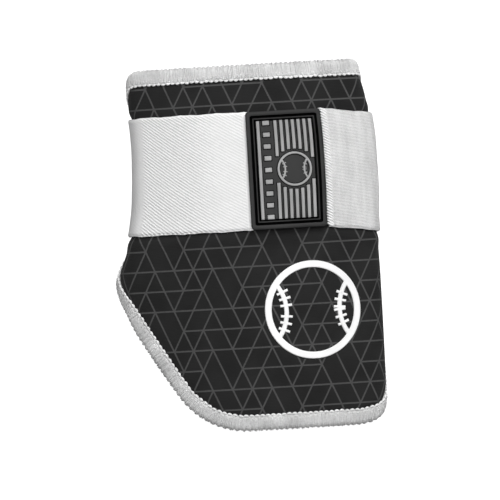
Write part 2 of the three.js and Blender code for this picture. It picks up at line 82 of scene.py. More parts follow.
FACE_RADIUS = (HALF_WIDTH - CORNER_RADIUS * (1 - math.sin(FACE_EDGE_ANGLE))) / math.sin(FACE_EDGE_ANGLE)
FACE_REACH = FACE_RADIUS * FACE_EDGE_ANGLE
CORNER_REACH = FACE_REACH + CORNER_RADIUS * (math.pi / 2 - FACE_EDGE_ANGLE)
FACE_DROP = FACE_RADIUS * (1 - math.cos(FACE_EDGE_ANGLE))
WIDEST_HEIGHT = CROWN_HEIGHT - FACE_DROP - CORNER_RADIUS * math.cos(FACE_EDGE_ANGLE)
EDGE_RADIUS = BINDING_THICKNESS / 2
WALL_ANGLE = math.asin((WIDEST_HEIGHT - EDGE_RADIUS) / (WALL_RADIUS - EDGE_RADIUS))
RIM_REACH = CORNER_REACH + WALL_RADIUS * WALL_ANGLE
WRAP_HALF = RIM_REACH - (BINDING_WIDTH - EDGE_RADIUS)
STRAP_LOW, STRAP_HIGH = STRAP_CENTRE_V - STRAP_WIDTH / 2, STRAP_CENTRE_V + STRAP_WIDTH / 2
STRAP_OVER = GAP + STRAP_THICKNESS
TAB_RIGHT_U = TAB_LEFT_U + TAB_WIDTH
TAB_LOW, TAB_HIGH = STRAP_CENTRE_V - TAB_LENGTH / 2, STRAP_CENTRE_V + TAB_LENGTH / 2
FALL_START = TAB_RIGHT_U + GAP


def smooth_table(at, values, where):
    """A smooth curve through a table, vectorised; the end values hold beyond its ends."""
    at, values = np.array(at), np.array(values)
    slope = np.empty_like(values)
    slope[1:-1] = (values[2:] - values[:-2]) / (at[2:] - at[:-2])
    slope[0] = (values[1] - values[0]) / (at[1] - at[0])
    slope[-1] = (values[-1] - values[-2]) / (at[-1] - at[-2])
    where = np.clip(where, at[0], at[-1])
    i = np.clip(np.searchsorted(at, where, side="right") - 1, 0, len(at) - 2)
    span = at[i + 1] - at[i]
    t = (where - at[i]) / span
    start = (1 + 2 * t) * (1 - t) ** 2 * values[i] + t * (1 - t) ** 2 * span * slope[i]
    return start + t * t * (3 - 2 * t) * values[i + 1] + t * t * (t - 1) * span * slope[i + 1]


def smoothstep(x, low, high):
    t = np.clip((x - low) / (high - low), 0, 1)
    return t * t * (3 - 2 * t)


def strap_fall(u):
    """How far the strap has dropped along the arm between the tab and the right wall."""
    return STRAP_FALL * np.clip((u - FALL_START) / (CORNER_REACH - FALL_START), 0, 1)


def edge_flare(u, v):
    """How far the cut-back left edge stands away from the arm."""
    past = smoothstep(-u, FACE_REACH + CORNER_RADIUS / 2, CORNER_REACH + CORNER_RADIUS)
    return -EDGE_FLARE * past * smoothstep(STRAP_LOW - v, LIFT_FADE, 4 * LIFT_FADE)


def shell_width(u, v):
    """The shell's own width there, as a share of the widest."""
    at = v / FIELD_HALF
    return np.where(u < 0, smooth_table(WIDTH_AT, LEFT_WIDTH, at), smooth_table(WIDTH_AT, RIGHT_WIDTH, at))


def surface(u, v):
    """The pad's outer face at (u, v), as an array of points."""
    u, v = np.broadcast_arrays(u, v)
    reach = np.abs(u)
    face = np.minimum(reach, FACE_REACH) / FACE_RADIUS
    bend = FACE_EDGE_ANGLE + (np.clip(reach, FACE_REACH, CORNER_REACH) - FACE_REACH) / CORNER_RADIUS
    curl = np.maximum(reach - CORNER_REACH, 0) / WALL_RADIUS
    x = FACE_RADIUS * np.sin(face) + CORNER_RADIUS * (np.sin(bend) - math.sin(FACE_EDGE_ANGLE))
    x = x - WALL_RADIUS * (1 - np.cos(curl))
    z = CROWN_HEIGHT - FACE_RADIUS * (1 - np.cos(face))
    z = z - CORNER_RADIUS * (math.cos(FACE_EDGE_ANGLE) - np.cos(bend)) - WALL_RADIUS * np.sin(curl)
    row = v + strap_fall(u)
    outside = np.maximum(np.maximum(STRAP_LOW - row, row - STRAP_HIGH), 0)
    down = np.clip((reach - CORNER_REACH) / (RIM_REACH - CORNER_REACH), 0, 1)
    z = z + STRAP_OVER * (1 - smoothstep(outside, 0, LIFT_FADE)) * down
    return np.stack([np.sign(u) * shell_width(u, v) * x + edge_flare(u, v), v, z], axis=-1)


def cloth_place(flat):
    """Flat places as the cloth has them, drawn in with the shell."""
    u, v = flat[:, 0], flat[:, 1]
    return np.stack([u * shell_width(u, v) * np.where(u < 0, 1, RIGHT_STRETCH), v], axis=1)


def surface_normal(u, v):
    step = 0.05
    across = surface(u + step, v) - surface(u - step, v)
    along = surface(u, v + step) - surface(u, v - step)
    normal = np.cross(across, along)
    return normal / np.linalg.norm(normal, axis=-1, keepdims=True)


def wrapped(u, v, w):
    u, v, w = np.broadcast_arrays(u, v, w)
    return surface(u, v) + surface_normal(u, v) * w[..., None]


def on_guard(flat, w):
    """Flat places, the last axis u and v, at height w over the guard."""
    return wrapped(flat[..., 0], flat[..., 1], w)


def strap_point(side, travel, v, w):
    """A place on the strap: over the face, down a wall, round its rim. Past RIM_REACH travel is an angle."""
    travel, v, w = np.broadcast_arrays(travel, v, w)
    v = v - strap_fall(side * travel)
    on_wall = wrapped(side * np.minimum(travel, RIM_REACH), v, w)
    rim = surface(side * RIM_REACH, v)
    normal = surface_normal(side * RIM_REACH, v) * np.array([1, 0, 1])
    normal = normal / np.linalg.norm(normal, axis=-1, keepdims=True)
    centre = rim - normal * EDGE_RADIUS
    lean = np.arctan2(-normal[..., 2], np.abs(normal[..., 0]))
    angle = lean + np.minimum(travel - RIM_REACH, math.pi / 2 - lean)
    radius = EDGE_RADIUS + w
    x = centre[..., 0] + side * radius * np.cos(angle)
    z = EDGE_RADIUS + STRAP_OVER - radius * np.sin(angle)
    return np.where((travel > RIM_REACH)[..., None], np.stack([x, v, z], axis=-1), on_wall)


# Meshes

SHARP_EDGE = math.radians(40)


def ruler(low, high, step):
    return np.linspace(low, high, max(1, round(abs(high - low) / step)) + 1)


def make_piece(name, points, faces, materials, slot, uv, face_material=None, smooth=True, sharp=None):
    """A mesh piece of the guard from points in millimetres; uv gives each point's flat place."""
    placed = (points + np.array([CROWN_LINE_X, 0, 0])) * MM
    mesh = bpy.data.meshes.new(name)
    mesh.from_pydata(placed.tolist(), [], [tuple(int(i) for i in face) for face in faces])
    for material in materials:
        mesh.materials.append(material)
    if face_material is not None:
        mesh.polygons.foreach_set("material_index", np.asarray(face_material, np.int32))
    mesh.polygons.foreach_set("use_smooth", np.full(len(mesh.polygons), smooth))
    corner = np.empty(len(mesh.loops), np.int32)
    mesh.loops.foreach_get("vertex_index", corner)
    layer = mesh.uv_layers.new(name="flat")
    layer.data.foreach_set("uv", uv[corner].ravel())
    mesh.validate()
    mesh.update()
    if sharp is not None:
        mesh.set_sharp_from_angle(angle=sharp)
    piece = bpy.data.objects.new(name, mesh)
    bpy.context.scene.collection.objects.link(piece)
    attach(piece, "root")
    return piece


class Parts:
    """Points, faces and flat places gathered from several small shapes of one piece."""

    def __init__(self):
        self.points, self.faces, self.uv, self.count = [], [], [], 0

    def add(self, points, faces, uv):
        self.points.append(points.reshape(-1, 3))
        self.faces += [tuple(i + self.count for i in face) for face in faces]
        self.uv.append(uv.reshape(-1, 2))
        self.count += len(self.points[-1])

    def piece(self, name, material, slot, **options):
        return make_piece(name, np.concatenate(self.points), self.faces, [material], slot,
                          uv=np.concatenate(self.uv), **options)


def yarn_piece(name, dark, light, slot, *threads):
    """A piece of yarn made of sets of tubes, between two grey levels."""
    parts = Parts()
    for tube_set in threads:
        parts.add(*tube_set)
    parts.piece(name, binding_yarn(name, dark, light), slot)


def ring_faces(rings, count, closed):
    """Quads between rings of count points each; closed joins the last ring to the first."""
    faces = []
    for i in range(rings if closed else rings - 1):
        here, there = i * count, ((i + 1) % rings) * count
        for k in range(count):
            after = (k + 1) % count
            faces.append((here + k, here + after, there + after, there + k))
    if not closed:
        faces += [tuple(reversed(range(count))), tuple((rings - 1) * count + k for k in range(count))]
    return faces


def filleted_loop(corners, step):
    """A closed outline of (u, v, radius) corners with each corner rounded, inward ones too."""
    loop = []
    for i, (u, v, radius) in enumerate(corners):
        here = np.array([u, v])
        back = np.array(corners[i - 1][:2]) - here
        forth = np.array(corners[(i + 1) % len(corners)][:2]) - here
        back, forth = back / np.linalg.norm(back), forth / np.linalg.norm(forth)
        half = math.acos(np.clip(back @ forth, -1, 1)) / 2
        middle = (back + forth) / np.linalg.norm(back + forth)
        centre = here + middle * radius / math.sin(half)
        turn = math.copysign(math.pi - 2 * half, forth[0] * back[1] - forth[1] * back[0])
        first = here + back * radius / math.tan(half) - centre
        steps = max(2, math.ceil(radius * abs(turn) / step))
        for k in range(steps + 1):
            c, s = math.cos(turn * k / steps), math.sin(turn * k / steps)
            loop.append(centre + np.array([c * first[0] - s * first[1], s * first[0] + c * first[1]]))
    return np.array(loop)


def evenly(loop, step):
    """The closed loop again, with points at an even distance."""
    closed = np.vstack([loop, loop[:1]])
    travel = np.concatenate([[0], np.cumsum(np.linalg.norm(np.diff(closed, axis=0), axis=1))])
    count = round(travel[-1] / step)
    at = np.linspace(0, travel[-1], count, endpoint=False)
    return np.stack([np.interp(at, travel, closed[:, k]) for k in (0, 1)], axis=1)


def outward(loop):
    before = loop - np.roll(loop, 1, axis=0)
    after = np.roll(loop, -1, axis=0) - loop
    along = before / np.linalg.norm(before, axis=1, keepdims=True)
    along = along + after / np.linalg.norm(after, axis=1, keepdims=True)
    along = along / np.linalg.norm(along, axis=1, keepdims=True)
    return np.stack([along[:, 1], -along[:, 0]], axis=1)


def distance_inside(points, loop):
    """Distance from flat points to the loop, negative outside it."""
    a, b = loop, np.roll(loop, -1, axis=0)
    span = b - a
    best = np.full(len(points), 1e9)
    inside = np.zeros(len(points), bool)
    for p, q, d in zip(a, b, span):
        rel = points - p
        t = np.clip((rel @ d) / (d @ d), 0, 1)
        best = np.minimum(best, np.hypot(*(rel - t[:, None] * d).T))
        crosses = (p[1] > points[:, 1]) != (q[1] > points[:, 1])
        where = p[0] + (points[:, 1] - p[1]) * d[0] / (d[1] or 1e-9)
        inside ^= crosses & (points[:, 0] < where)
    return np.where(inside, best, -best)


def flat_lattice(low, high, step):
    """A staggered lattice of points over a flat rectangle."""
    rows = []
    for k, v in enumerate(np.arange(low[1], high[1], step * 0.87)):
        us = np.arange(low[0], high[0], step) + (step / 2 if k % 2 else 0)
        rows.append(np.stack([us, np.full_like(us, v)], axis=1))
    return np.concatenate(rows)


def filled(loops, inner, spare):
    """Points and triangles inside the outermost loop, through every loop's points and the inner points."""
    points = np.concatenate([*loops, inner])
    edge = len(loops[0])
    border = [(k, (k + 1) % edge) for k in range(edge)]
    result = delaunay_2d_cdt([Vector(p) for p in points], border, [], 1, spare)
    return np.array([tuple(p) for p in result[0]]), result[2]


def tubes(paths, refs, radius, sides, scale):
    """Threads along paths (count, points, 3): refs point across them and scale sizes their rings."""
    count, length, _ = paths.shape
    tangent = np.gradient(paths, axis=1)
    tangent /= np.linalg.norm(tangent, axis=2, keepdims=True)
    across = refs[:, None, :] - np.sum(refs[:, None, :] * tangent, axis=2, keepdims=True) * tangent
    across /= np.linalg.norm(across, axis=2, keepdims=True)
    up = np.cross(tangent, across)
    turn = np.linspace(0, 2 * math.pi, sides, endpoint=False)[None, None, :, None]
    ring = np.cos(turn) * across[:, :, None] + np.sin(turn) * up[:, :, None]
    points = paths[:, :, None] + radius * scale[None, :, None, None] * ring
    one = ring_faces(length, sides, False)
    faces = [tuple(k * length * sides + i for i in face) for k in range(count) for face in one]
    along = np.linspace(0, 1, length)[None, :, None] + np.arange(count)[:, None, None]
    uv = np.stack(np.broadcast_arrays(along, turn[..., 0] / (2 * math.pi)), axis=-1)
    return points, faces, uv


# Shader building


def math_node(operation, *fixed):
    """A method of Sum that adds one Math node; fixed values come after the method's own."""
    def method(self, *others):
        return self.maths(operation, *others, *fixed)
    return method


class Sum:
    """A number or colour channel in a node tree, so that shader maths reads as maths."""

    def __init__(self, tree, socket):
        self.tree, self.socket = tree, socket

    def maths(self, operation, *others):
        node = self.tree.nodes.new("ShaderNodeMath")
        node.operation = operation
        for k, value in enumerate([self, *others]):
            if isinstance(value, Sum):
                self.tree.links.new(value.socket, node.inputs[k])
            else:
                node.inputs[k].default_value = value
        return Sum(self.tree, node.outputs[0])

    __add__ = __radd__ = math_node("ADD")
    __sub__ = math_node("SUBTRACT")
    __mul__ = __rmul__ = math_node("MULTIPLY")
    __truediv__ = math_node("DIVIDE")
    floor = math_node("FLOOR")
    round = math_node("ROUND")
    abs = math_node("ABSOLUTE")
    sine = math_node("SINE")
    wrap = math_node("WRAP", 0.0)
    minimum = math_node("MINIMUM")
    maximum = math_node("MAXIMUM")
    below = math_node("LESS_THAN")
    above = math_node("GREATER_THAN")

    def __rsub__(self, other):
        return self * -1 + other

    def fade(self, low, high):
        """0 at low and 1 at high, smooth between."""
        node = self.tree.nodes.new("ShaderNodeMapRange")
        node.interpolation_type = "SMOOTHSTEP"
        self.tree.links.new(self.socket, node.inputs["Value"])
        node.inputs["From Min"].default_value = low
        node.inputs["From Max"].default_value = high
        return Sum(self.tree, node.outputs["Result"])

    def wave(self, length):
        """A sine between 0 and 1 that repeats after a length."""
        return (self * (2 * math.pi / length)).sine() * 0.5 + 0.5


def first_two(tree, vector):
    """The first two numbers of a vector."""
    split = tree.nodes.new("ShaderNodeSeparateXYZ")
    tree.links.new(vector, split.inputs[0])
    return Sum(tree, split.outputs[0]), Sum(tree, split.outputs[1])


def flat_vector(tree):
    """The flat place of the cloth, in millimetres."""
    coords = tree.nodes.new("ShaderNodeUVMap")
    coords.uv_map = "flat"
    return coords.outputs[0]


def body_vector(tree):
    return tree.nodes.new("ShaderNodeTexCoord").outputs["Object"]


def noise(tree, vector, scale, detail=3.0, stretch=(1, 1, 1), distortion=0.0):
    """Noise of about one feature per unit of 1/scale, optionally stretched along the axes."""
    mapping = tree.nodes.new("ShaderNodeMapping")
    mapping.inputs["Scale"].default_value = stretch
    tree.links.new(vector, mapping.inputs["Vector"])
    node = tree.nodes.new("ShaderNodeTexNoise")
    node.inputs["Scale"].default_value = scale
    node.inputs["Detail"].default_value = detail
    node.inputs["Distortion"].default_value = distortion
    tree.links.new(mapping.outputs[0], node.inputs["Vector"])
    return Sum(tree, node.outputs["Fac"])


def blended(tree, mask, dark, light):
    """A colour between two, each a colour or a socket, by a mask."""
    node = tree.nodes.new("ShaderNodeMix")
    node.data_type = "RGBA"
    tree.links.new(mask.socket, node.inputs["Factor"])
    for name, value in (("A", dark), ("B", light)):
        socket = [s for s in node.inputs if s.name == name and s.type == "RGBA"][0]
        if hasattr(value, "is_output"):
            tree.links.new(value, socket)
        else:
            socket.default_value = value
    return [s for s in node.outputs if s.type == "RGBA"][0]


def grey(level):
    """Linear grey for an sRGB level from 0 to 255."""
    share = level / 255
    linear = share / 12.92 if share <= 0.04045 else ((share + 0.055) / 1.055) ** 2.4
    return (linear, linear, linear, 1)


def paint(tree, shader, mask, dark, light):
    """Base colour between two grey levels, by a mask."""
    tree.links.new(blended(tree, mask, grey(dark), grey(light)), shader.inputs["Base Color"])


def new_material(name, roughness, sheen=0.0, specular=0.3):
    material = bpy.data.materials.new(name)
    material.use_nodes = True
    tree = material.node_tree
    shader = tree.nodes["Principled BSDF"]
    shader.inputs["Roughness"].default_value = roughness
    shader.inputs["Specular IOR Level"].default_value = specular
    shader.inputs["Sheen Weight"].default_value = sheen
    return material, tree, shader


def set_bump(tree, shader, height, distance, strength=1.0):
    bump = tree.nodes.new("ShaderNodeBump")
    bump.inputs["Strength"].default_value = strength
    bump.inputs["Distance"].default_value = distance
    tree.links.new(height.socket, bump.inputs["Height"])
    tree.links.new(bump.outputs[0], shader.inputs["Normal"])


def yarn_fuzz(tree, vector, fibre, patch):
    """Brushed yarn: the height of its tangled fibres, and soft patches of lighter and darker cloth."""
    return noise(tree, vector, fibre, 4.0, distortion=1.2), noise(tree, vector, patch, 2.0)


# The print: rows of triangles with some sides left out, in a repeat of twelve half steps by four rows
PRINT_HALF_STEP = 4.93
PRINT_ROW = 10.146
PRINT_LEAN = 0.55
PRINT_FIRST_U, PRINT_FIRST_V = -29.7, -9.45
PRINT_LINE = 0.4
# Repeats of the knit, the lining, the twill and the pile
KNIT_COURSE, KNIT_WALE = 0.75, 0.6
LINING_CELL = (2.6, 2.2)
RIB_PITCH, RIB_SLANT, RIB_BOW, RIB_YARN = 1.58, 0.49, 0.00165, 1.9
PILE_RIDGE = 1.6


def print_lines(u, v):
    """Mask of the printed lines, 1 on a line."""
    row = (PRINT_FIRST_V - v) / PRINT_ROW
    step = (u - PRINT_FIRST_U + row * PRINT_LEAN) / PRINT_HALF_STEP
    slant = math.hypot(1 / PRINT_HALF_STEP, 1 / PRINT_ROW)

    level = row.round()
    along = (step - (level - 1) * 3).wrap(12)
    level_gap = along.above(1) * along.below(5) * (level.wrap(2) - 1).abs().below(0.5)
    level_line = (row - level).abs() * PRINT_ROW + level_gap * PRINT_ROW

    line = row.floor()
    turn = line.wrap(4)
    falling = ((step - row) / 2).round() * 2
    place = (falling + line - (turn * 3 + turn.wrap(2) * 2 + 6)).wrap(12)
    falling_gap = place.below(0.5).maximum(place.above(11.5))
    falling_line = (step - row - falling).abs() / slant + falling_gap * PRINT_ROW

    rising = ((step + row) / 2).round() * 2
    place = (rising - line - 4 + line.wrap(2)).wrap(6)
    rising_gap = place.below(0.5).maximum(place.above(5.5))
    rising_line = (step + row - rising).abs() / slant + rising_gap * PRINT_ROW

    nearest = level_line.minimum(falling_line).minimum(rising_line)
    return 1 - nearest.fade(PRINT_LINE * 0.75, PRINT_LINE * 1.25)


def printed_knit():
    material, tree, shader = new_material("printed_knit", 0.85, sheen=0.04, specular=0.15)
    vector = flat_vector(tree)
    fuzz, patches = yarn_fuzz(tree, vector, 1.6, 0.05)
    u, v = first_two(tree, vector)
    sway = (v * (math.pi / KNIT_COURSE)).sine() * (KNIT_WALE / (2 * math.pi))
    knit = v.wave(KNIT_COURSE) * (u + sway).wave(KNIT_WALE)
    line = print_lines(u, v) * (fuzz * 1.2 + 0.35).minimum(1.0)
    cloth = blended(tree, patches.fade(0.3, 0.7), grey(28), grey(36))
    cloth = blended(tree, knit * 0.3, cloth, grey(46))
    tree.links.new(blended(tree, line * 0.9, cloth, grey(78)), shader.inputs["Base Color"])
    tree.links.new((line * -0.12 + 0.84).socket, shader.inputs["Roughness"])
    set_bump(tree, shader, knit * 0.6 + fuzz * 0.5 + line * 0.25, 0.00018)
    return material


def inner_fabric():
    material, tree, shader = new_material("inner_fabric", 0.9, sheen=0.15)
    vector = flat_vector(tree)
    fuzz, patches = yarn_fuzz(tree, vector, 0.9, 0.04)
    u, v = first_two(tree, vector)
    cell_u, cell_v = LINING_CELL
    cells = ((u * (2 * math.pi / cell_u)).sine() * (v * (2 * math.pi / cell_v)).sine()).abs()
    paint(tree, shader, cells * 0.6 + patches * 0.4, 30, 52)
    set_bump(tree, shader, fuzz * 0.5 - cells, 0.00025)
    return material


def binding_yarn(name, dark, light):
    material, tree, shader = new_material(name, 0.9, sheen=0.3, specular=0.2)
    fuzz, patches = yarn_fuzz(tree, body_vector(tree), 1600.0, 90.0)
    paint(tree, shader, (fuzz * 0.6 + patches * 0.5).fade(0.3, 0.75), dark, light)
    set_bump(tree, shader, fuzz, 0.0002)
    return material


def woven_ribs(tree, vector):
    """Slanted ribs of a woven band, with the yarn's own unevenness: their height and their shade."""
    u, v = first_two(tree, vector)
    wander = noise(tree, vector, 0.5) - 0.5
    across = (v + u * RIB_SLANT - u * u * RIB_BOW + wander * 0.7) / RIB_PITCH
    knuckle = ((u - v * 0.15) / RIB_YARN + across.floor() * 0.37).wave(1)
    shade = across.wave(1) * 0.6 + noise(tree, vector, 3.2) * 0.4
    return shade + knuckle * 0.05, shade


def twill_elastic():
    material, tree, shader = new_material("twill_elastic", 0.85, sheen=0.2, specular=0.25)
    vector = flat_vector(tree)
    rib_height, rib_shade = woven_ribs(tree, vector)
    fuzz, patches = yarn_fuzz(tree, vector, 2.4, 0.06)
    u, v = first_two(tree, vector)
    selvedge = (v - STRAP_CENTRE_V).fade(STRAP_WIDTH / 2 - 1.1, STRAP_WIDTH / 2 - 0.5)
    hem = u.fade(TAB_LEFT_U - 2.2, TAB_LEFT_U - 1.4) * u.below(10)
    plain = selvedge.maximum(hem) * 0.6
    # Where the strap rolls over the left corner its ribs fade out and its colour is painted darker (the -
    # bend * 0.12 below): painted shade for the band turning away from the light.
    bend = u.fade(-FACE_REACH + 1, -FACE_REACH - 1.5) * u.fade(-CORNER_REACH - 4, -CORNER_REACH + 1) * 0.9
    deep = (u.fade(-12, -34) * 0.5 + 0.5) * (patches * 0.8 + 0.6)
    ribbed = (1 - plain) * (1 - bend) * deep
    shade = rib_shade * ribbed + (1 - ribbed) * 0.55 + plain * 0.3 - bend * 0.12
    paint(tree, shader, (shade * 0.6 + patches * 0.15 + fuzz * 0.25).fade(0.1, 0.8), 186, 250)
    set_bump(tree, shader, rib_height * ribbed + fuzz * 0.3, 0.00032)
    return material


def loop_pile():
    material, tree, shader = new_material("loop_pile", 1.0, sheen=0.5, specular=0.15)
    vector = flat_vector(tree)
    fuzz, patches = yarn_fuzz(tree, vector, 2.8, 0.09)
    u, v = first_two(tree, vector)
    wander = noise(tree, vector, 0.6, stretch=(1, 0.5, 1)) * 4.8
    ridges = (v * (2 * math.pi / PILE_RIDGE) + u * 0.4 + wander).sine() * 0.5 + 0.5
    bands = noise(tree, vector, 0.3, stretch=(1, 0.12, 1))
    tint = fuzz * 0.6 + bands * 0.35 + ridges * 0.08 + patches * 0.15
    paint(tree, shader, tint.fade(0.35, 0.8), 188, 236)
    set_bump(tree, shader, fuzz * 0.9 + ridges * 0.25, 0.0004)
    return material


def moulded_rubber(name, low, high, roughness, specular=0.25):
    material, tree, shader = new_material(name, roughness, specular=specular)
    fuzz, patches = yarn_fuzz(tree, body_vector(tree), 2600.0, 60.0)
    paint(tree, shader, (patches * 0.8 + fuzz * 0.2).fade(0.3, 0.7), low, high)
    tree.links.new((patches * 0.2 + (roughness - 0.1)).socket, shader.inputs["Roughness"])
    set_bump(tree, shader, fuzz, 0.00005, 0.6)
    return material


def emblem_skin():
    material, tree, shader = new_material("emblem_skin", 0.42, specular=0.4)
    fuzz, patches = yarn_fuzz(tree, body_vector(tree), 1500.0, 50.0)
    paint(tree, shader, patches.fade(0.3, 0.7), 240, 252)
    set_bump(tree, shader, fuzz, 0.00004, 0.5)
    return material


# Pad: a dense skin over the padded shell, printed outside and plain inside

PAD_SPACING = 1.7
PAD_THIN_EDGE = 3.2              # how far in the pad is still thinned towards its border
PAD_FULL = 9.0
# Round the pad's border: reach outward, height of its upper and of its lower skin
EDGE_RINGS = [
    (2.6, -1.95, -3.45), (1.2, -1.5, -3.9), (-0.3, -0.85, -4.75), (-1.6, -0.4, -5.3),
    (-PAD_THIN_EDGE, -0.12, -5.75),
]


def strap_press(u, v):
    """How far the padding stands up beside the strap's edges, and sinks under it."""
    row = v + strap_fall(u)
    below, above = STRAP_LOW - row, row - STRAP_HIGH
    swell = 0.8 * np.exp(-((below - 3.5) / 3.2) ** 2) + 0.6 * np.exp(-((above - 3.5) / 3.0) ** 2)
    under = smoothstep(np.minimum(-below, -above), -0.5, 1.5)
    return swell * smoothstep(np.maximum(below, above), -0.6, 1.2) - 0.15 * under


def field_loop(step):
    """The border of the printed field, with places a step apart."""
    corners = [(across * WRAP_HALF, up * FIELD_HALF, rounding * FIELD_HALF)
               for across, up, rounding in FIELD_CORNERS]
    return evenly(filleted_loop(corners, step / 2), step)


def padded_shell():
    loop = field_loop(PAD_SPACING)
    out = outward(loop)
    rings = [loop + out * reach for reach, _, _ in EDGE_RINGS]
    margin = np.array([WRAP_HALF + 3, FIELD_HALF + 3])
    inner = flat_lattice(-margin, margin, PAD_SPACING)
    inner = inner[distance_inside(inner, loop) > PAD_THIN_EDGE + 1.4]
    flat, triangles = filled(rings, inner, 1e-4)
    depth = distance_inside(flat, loop)
    reach, tops, bottoms = np.array(EDGE_RINGS)[::-1].T
    inside = smoothstep(depth, 1.0, PAD_FULL)
    swell = smoothstep(depth, PAD_THIN_EDGE, PAD_FULL)
    top = np.where(depth > PAD_THIN_EDGE, -0.12 + 0.12 * swell, np.interp(-depth, reach, tops))
    under = 0.25 * (1 - swell) - PAD_THICKNESS
    bottom = np.where(depth > PAD_THIN_EDGE, under, np.interp(-depth, reach, bottoms))
    soft = 0.12 * np.sin(flat[:, 0] * 0.11 + 1.3) * np.sin(flat[:, 1] * 0.09) * inside
    top = top + strap_press(flat[:, 0], flat[:, 1]) * inside + soft
    count, edge = len(flat), len(loop)
    points = np.concatenate([on_guard(flat, top), on_guard(flat, bottom)])
    faces = [tuple(face) for face in triangles]
    faces += [tuple(count + i for i in reversed(face)) for face in triangles]
    faces += [(k, k + count, (k + 1) % edge + count, (k + 1) % edge) for k in range(edge)]
    lining = np.arange(len(faces)) >= len(triangles)
    cloth = cloth_place(flat)
    pad = make_piece("padded_shell", points, faces, [printed_knit(), inner_fabric()], "printed_fabric",
                     uv=np.concatenate([cloth, cloth]), face_material=lining)
    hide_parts("pad")


# Binding: a soft C-shaped tape, overcast with yarn all the way round

TAPE_SPACING = 1.6
STITCH_PITCH = 2.75
STRANDS = 5
YARN_RADIUS = 0.34
BITE = 0.1
BUNDLE_BULGE = 0.32
CHAIN_REACH = 0.1
CHAIN_RADIUS = 0.58
KNOT_PITCH = 1.0
KNOT_RADIUS = 0.26
FIBRE_PITCH = 0.12
FIBRE_RADIUS = 0.055
FIBRES_ON_LIP = 0.6              # share of the fibres that stand on the binding's upper side


def binding_edge(step):
    """Places along the field's border, a step apart, with the directions outward and onward at each."""
    loop = field_loop(step)
    out = outward(loop)
    return loop, out, np.stack([-out[:, 1], out[:, 0]], axis=1)


def beside(edge, reach, slide):
    """Flat places beside the border, so far outward and onward."""
    loop, out, along = edge
    return loop[:, None] + out[:, None] * reach[..., None] + along[:, None] * slide[..., None]


def lifted(loop, direction):
    """A flat direction as it lies on the guard, at each place of a loop."""
    return on_guard(loop + direction, 0) - on_guard(loop, 0)


def binding_section():
    """Reach and height round the tape's C section, outside first."""
    centre, radius = BINDING_WIDTH - EDGE_RADIUS - 0.2, EDGE_RADIUS - 0.15
    nose = [(centre + radius * math.cos(a), -EDGE_RADIUS + radius * math.sin(a))
            for a in np.linspace(math.pi / 2, -math.pi / 2, 11)]
    top, bottom = -0.12, -BINDING_THICKNESS + 0.2
    return [(0.1, top - 0.5), (0.4, top), (2.2, top + 0.05), *nose, (2.2, bottom), (0.4, bottom),
            (0.1, bottom + 0.5), (0.2, -4.1), (5.2, -3.9), (5.2, -1.5), (0.2, -1.3)]


def binding_tape():
    loop = field_loop(TAPE_SPACING)
    section = np.array(binding_section())[::-1]
    flat = loop[:, None, :] + outward(loop)[:, None, :] * section[None, :, :1]
    rng = np.random.default_rng(7)
    height = section[None, :, 1] + rng.uniform(-0.08, 0.08, flat.shape[:2])
    faces = ring_faces(len(loop), len(section), True)
    tape = make_piece("binding_tape", on_guard(flat, height).reshape(-1, 3), faces,
                      [binding_yarn("binding_tape", 192, 222)], "binding_yarn", uv=flat.reshape(-1, 2))
    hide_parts("edge_binding")


def overcast_yarn():
    """Bundles of fine yarn that bite into the cloth and fan out over the binding's edge."""
    edge = binding_edge(STITCH_PITCH)
    loop, _, along = edge
    rng = np.random.default_rng(11)
    centre, radius = BINDING_WIDTH - EDGE_RADIUS, EDGE_RADIUS - 0.02
    arc = np.linspace(math.pi / 2, -math.pi / 2, 8)
    reach = np.array([BITE, BITE + 0.3, 1.2, 2.6, *(centre + radius * np.cos(arc)), 2.4, 0.6, -0.4])
    height = np.array([-0.7, 0.02, 0.06, 0.0, *(-EDGE_RADIUS + radius * np.sin(arc)),
                       -BINDING_THICKNESS, -BINDING_THICKNESS - 0.05, -BINDING_THICKNESS + 0.4])
    spread = np.clip((reach - BITE + 0.6) / 2.2, 0, 1)
    spread[-3:] = [0.9, 0.7, 0.4]
    lean = np.linspace(-0.2, 0.5, len(reach)) * STITCH_PITCH * 0.5
    around = np.clip((reach - centre + 1) / 2, 0, 1)
    each, every = (len(loop), 1), (len(loop), len(reach))
    places, heights = [], []
    for k in range(STRANDS):
        off = k - (STRANDS - 1) / 2
        bulge = BUNDLE_BULGE * (math.cos(off / STRANDS * 2 * math.pi) - 0.3)
        slide = off / STRANDS * STITCH_PITCH * spread + lean + rng.normal(0, 0.12, each)
        wander = np.cumsum(rng.normal(0, 0.06, every), axis=1)
        bite = (abs(off) * 0.16 + rng.normal(0, 0.1, each)) * (1 - spread) * 2
        places.append(beside(edge, reach + bulge * around + bite, slide + wander))
        heights.append(height + rng.normal(0.0, 0.05, every) * np.minimum(spread + 0.2, 1))
    paths = on_guard(np.concatenate(places), np.concatenate(heights))
    paths[..., 2] = np.maximum(paths[..., 2], YARN_RADIUS)
    scale = np.ones(len(reach))
    scale[0] = scale[-1] = 0.7
    refs = np.concatenate([lifted(loop, along)] * STRANDS)
    yarn_piece("overcast_yarn", 190, 226, "binding_yarn", tubes(paths, refs, YARN_RADIUS, 5, scale))


def chain_knots(rng):
    """Small knots of bright yarn scattered over the binding's lip."""
    edge = binding_edge(KNOT_PITCH)
    each = (len(edge[0]), 1)
    share = np.linspace(-0.5, 0.5, 5)
    length = rng.uniform(0.5, 1.1, each)
    reach = rng.uniform(0.5, 2.6, each) + share * rng.normal(0.5, 0.3, each)
    slide = rng.normal(0, 0.5, each) + share * length
    height = 0.02 + 0.1 * np.cos(share * math.pi) + rng.normal(0, 0.03, each)
    paths = on_guard(beside(edge, reach, slide), height)
    refs = rng.normal(0, 1, (len(edge[0]), 3))
    return tubes(paths, refs, KNOT_RADIUS, 6, np.array([0.4, 0.9, 1.1, 0.9, 0.4]))


